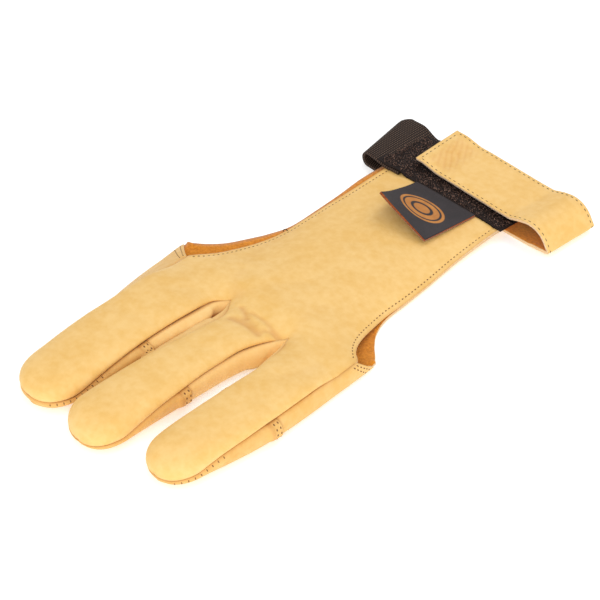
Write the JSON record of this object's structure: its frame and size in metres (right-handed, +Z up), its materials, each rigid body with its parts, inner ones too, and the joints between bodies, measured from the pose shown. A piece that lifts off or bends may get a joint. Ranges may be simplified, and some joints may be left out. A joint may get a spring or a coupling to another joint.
{
  "type": "archery glove",
  "caption": "Leather shooting glove with a full palm, gusseted fingers with sewn tip caps, open sides for the thumb and the small finger, an elastic wrist band and a hook-and-loop strap.",
  "frame": {"origin": "middle of the footprint, on the table the glove lies on", "axes": "+Y from the wrist to the fingertips, +X to the right seen from above with the tips away, +Z up"},
  "size_m": [0.1086, 0.2208, 0.0158],
  "materials": {
    "leather": "soft matte grain leather",
    "elastic": "ribbed woven elastic",
    "pile": "loop pile",
    "hook": "moulded hooks",
    "tag_leather": "smooth dyed leather"
  },
  "bodies": {
    "root": {"upper_panel": "leather", "lower_panel": "leather", "left_gusset": "leather", "left_middle_gusset": "leather", "middle_right_gusset": "leather", "right_gusset": "leather", "left_tip_cap": "leather", "middle_tip_cap": "leather", "right_tip_cap": "leather", "elastic_band": "elastic", "loop_patch": "pile", "closure_strap": "leather", "hook_patch": "hook", "tag": "tag_leather"}
  },
  "joints": []
}
